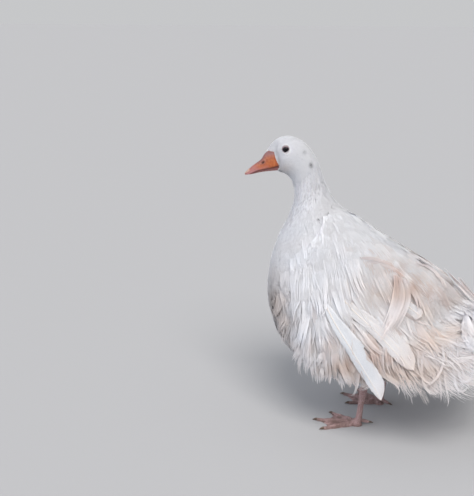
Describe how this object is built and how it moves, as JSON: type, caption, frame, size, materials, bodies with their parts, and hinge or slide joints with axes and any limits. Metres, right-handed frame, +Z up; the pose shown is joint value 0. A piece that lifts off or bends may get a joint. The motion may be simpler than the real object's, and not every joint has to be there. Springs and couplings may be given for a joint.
{
  "type": "sebastopol goose",
  "caption": "Life-size still model of a standing domestic goose with long curled, trailing white plumage, a wedge-shaped orange bill and webbed feet.",
  "frame": {"origin": "on the floor under the middle of the bounding box", "axes": "+Z up; the bird faces -Y and its left side is +X; the head is turned 14 degrees to its left"},
  "size_m": [0.3142, 0.4728, 0.5155],
  "materials": {
    "plumage": "soft white feather, matte, with cream and grey-beige tints on the longer feathers",
    "bill": "waxy satin horn, orange at the cheek, pinkish towards the tip, pale nail",
    "eye": "wet glossy near-black",
    "leg_skin": "scaly matte skin, dull pink with brown dirt",
    "claw": "satin dark horn"
  },
  "bodies": {
    "root": {"trunk": "plumage", "neck": "plumage", "head": "plumage", "tail": "plumage", "wing_left": "plumage", "wing_right": "plumage", "primary_left_1": "plumage", "primary_left_2": "plumage", "primary_right_1": "plumage", "primary_right_2": "plumage", "thigh_left": "plumage", "thigh_right": "plumage", "bill_upper": "bill", "bill_lower": "bill", "eye_left": "eye", "eye_right": "eye", "shank_left": "leg_skin", "shank_right": "leg_skin", "foot_left": "leg_skin", "foot_right": "leg_skin", "claw_left_inner": "claw", "claw_left_middle": "claw", "claw_left_outer": "claw", "claw_left_hind": "claw", "claw_right_inner": "claw", "claw_right_middle": "claw", "claw_right_outer": "claw", "claw_right_hind": "claw"}
  },
  "joints": []
}
